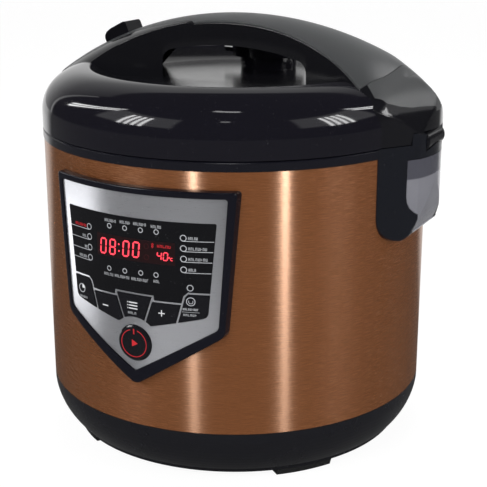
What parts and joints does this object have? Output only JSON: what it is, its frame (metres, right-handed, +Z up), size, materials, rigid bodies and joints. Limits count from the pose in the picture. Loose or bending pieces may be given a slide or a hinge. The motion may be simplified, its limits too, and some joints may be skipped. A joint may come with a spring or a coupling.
{
  "type": "electric multicooker",
  "caption": "Round electric cooker with a hinged domed lid and arched handle, steam valve, condensate cup, removable pot and a shield-shaped control panel.",
  "frame": {"origin": "middle of the footprint on the surface that the feet stand on", "axes": "+Z up, the control panel faces -Y, the hinge block is at +X"},
  "size_m": [0.27, 0.2636, 0.2797],
  "materials": {
    "copper_shell": "brushed, bronze-tinted",
    "base_black": "satin",
    "foot_black": "matt",
    "collar_black": "glossy",
    "lid_black": "piano black",
    "strip_black": "satin",
    "lid_inner": "matt",
    "liner_metal": "plain",
    "heater_metal": "cast",
    "sensor_metal": "satin",
    "pot_coating": "non-stick coating",
    "lid_plate_metal": "polished",
    "spring_steel": "plain",
    "screw_steel": "plated",
    "board_green": "lacquered",
    "led_block": "glossy",
    "bezel_black": "glossy",
    "plate_silver": "brushed",
    "window_black": "clear-coated",
    "key_black": "glossy",
    "tower_black": "satin",
    "cup_smoke": "smoked, clear",
    "silicone_grey": "matt",
    "inlet_black": "matt"
  },
  "bodies": {
    "base": {"base_housing": "base_black", "base_feet": "foot_black", "base_screws": "screw_steel", "outer_shell": "copper_shell", "top_collar": "collar_black", "inner_liner": "liner_metal", "heating_plate": "heater_metal", "sensor_spring": "spring_steel", "sensor_bracket": "heater_metal", "power_board": "board_green", "control_board": "board_green", "led_display": "led_block", "power_inlet": "inlet_black", "panel_bezel": "bezel_black", "panel_plate": "plate_silver", "display_window": "window_black", "hinge_tower": "tower_black", "hinge_pin": "screw_steel", "hinge_spring": "spring_steel"},
    "sensor": {"sensor_cap": "sensor_metal"},
    "pot": {"inner_pot": "pot_coating"},
    "cup": {"condensate_cup": "cup_smoke"},
    "lid": {"lid_cover": "lid_black", "handle_arch": "lid_black", "handle_cover": "strip_black", "lid_lower": "lid_inner", "inner_lid_plate": "lid_plate_metal", "lid_gasket": "silicone_grey", "valve_seal": "silicone_grey", "latch_pin": "screw_steel", "button_spring": "spring_steel", "lid_screws": "screw_steel"},
    "valve": {"steam_valve_body": "lid_black", "steam_valve_cap": "lid_black"},
    "release": {"release_button": "key_black"},
    "latch": {"latch_hook": "spring_steel"},
    "start": {"start_button": "key_black"},
    "timer_key": {"key_timer": "key_black"},
    "minus_key": {"key_minus": "key_black"},
    "menu_key": {"key_menu": "key_black"},
    "plus_key": {"key_plus": "key_black"},
    "cancel_key": {"key_cancel": "key_black"}
  },
  "joints": [
    {"name": "lid_hinge", "type": "hinge", "parent": "base", "child": "lid", "pos_m": [0.128, 0.0028, 0.209], "axis": [0, 1, 0], "range_deg": [0, 88]},
    {"name": "release_press", "type": "slide", "parent": "lid", "child": "release", "axis": [0.3907, 0, -0.9205], "range_m": [0, 0.0025], "stiffness_N_per_m": 500, "deforming": ["button_spring"]},
    {"name": "latch_turn", "type": "hinge", "parent": "lid", "child": "latch", "pos_m": [-0.1145, 0.0028, 0.219], "axis": [0, 1, 0], "range_deg": [0, 5]},
    {"name": "steam_valve_lift", "type": "slide", "parent": "lid", "child": "valve", "axis": [0, 0, 1], "range_m": [0, 0.02]},
    {"name": "cup_pull", "type": "slide", "parent": "base", "child": "cup", "axis": [1, 0, 0], "range_m": [0, 0.03]},
    {"name": "pot_turn", "type": "hinge", "parent": "base", "child": "pot", "pos_m": [-0.0065, 0.0028, 0.1], "axis": [0, 0, 1], "continuous": true},
    {"name": "sensor_travel", "type": "slide", "parent": "base", "child": "sensor", "axis": [0, 0, -1], "range_m": [0, 0.002], "stiffness_N_per_m": 1500, "deforming": ["sensor_spring"]},
    {"name": "start_press", "type": "slide", "parent": "base", "child": "start", "axis": [0, 1, 0], "range_m": [0, 0.0008], "stiffness_N_per_m": 1500},
    {"name": "timer_press", "type": "slide", "parent": "base", "child": "timer_key", "axis": [0, 1, 0], "range_m": [0, 0.0008], "stiffness_N_per_m": 1500},
    {"name": "minus_press", "type": "slide", "parent": "base", "child": "minus_key", "axis": [0, 1, 0], "range_m": [0, 0.0008], "stiffness_N_per_m": 1500},
    {"name": "menu_press", "type": "slide", "parent": "base", "child": "menu_key", "axis": [0, 1, 0], "range_m": [0, 0.0008], "stiffness_N_per_m": 1500},
    {"name": "plus_press", "type": "slide", "parent": "base", "child": "plus_key", "axis": [0, 1, 0], "range_m": [0, 0.0008], "stiffness_N_per_m": 1500},
    {"name": "cancel_press", "type": "slide", "parent": "base", "child": "cancel_key", "axis": [0, 1, 0], "range_m": [0, 0.0008], "stiffness_N_per_m": 1500}
  ],
  "couplings": [
    {"joint": "latch_turn", "follows": "release_press", "rad_per_m": 25}
  ]
}
